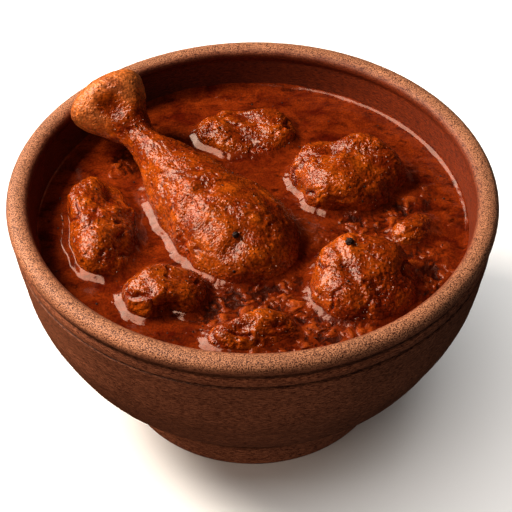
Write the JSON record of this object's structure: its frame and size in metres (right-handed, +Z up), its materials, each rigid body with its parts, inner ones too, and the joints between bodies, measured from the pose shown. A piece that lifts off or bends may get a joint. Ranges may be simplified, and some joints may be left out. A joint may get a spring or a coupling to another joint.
{
  "type": "chicken curry in a clay bowl",
  "caption": "Chicken curry served in a round footed clay bowl, with a drumstick and smaller chicken pieces standing out of a thick red-brown sauce.",
  "frame": {"origin": "middle of the foot's underside, where the bowl rests on the table", "axes": "+Z up along the bowl's axis, -Y to the front, +X to the right; the drumstick's knuckle leans on the rim at the back left"},
  "size_m": [0.18, 0.18, 0.112],
  "materials": {
    "clay": "unglazed terracotta, thrown and fired, fine sandy speckle",
    "sauce": "thick oily red-brown curry sauce, glossy",
    "chicken": "cooked chicken with a glossy spiced coating"
  },
  "bodies": {
    "root": {"bowl": "clay", "sauce": "sauce", "drumstick": "chicken", "chicken_left": "chicken", "chicken_front_left": "chicken", "chicken_front": "chicken", "chicken_right_upper": "chicken", "chicken_right_lower": "chicken", "chicken_right_small": "chicken", "chicken_back": "chicken"}
  },
  "joints": []
}
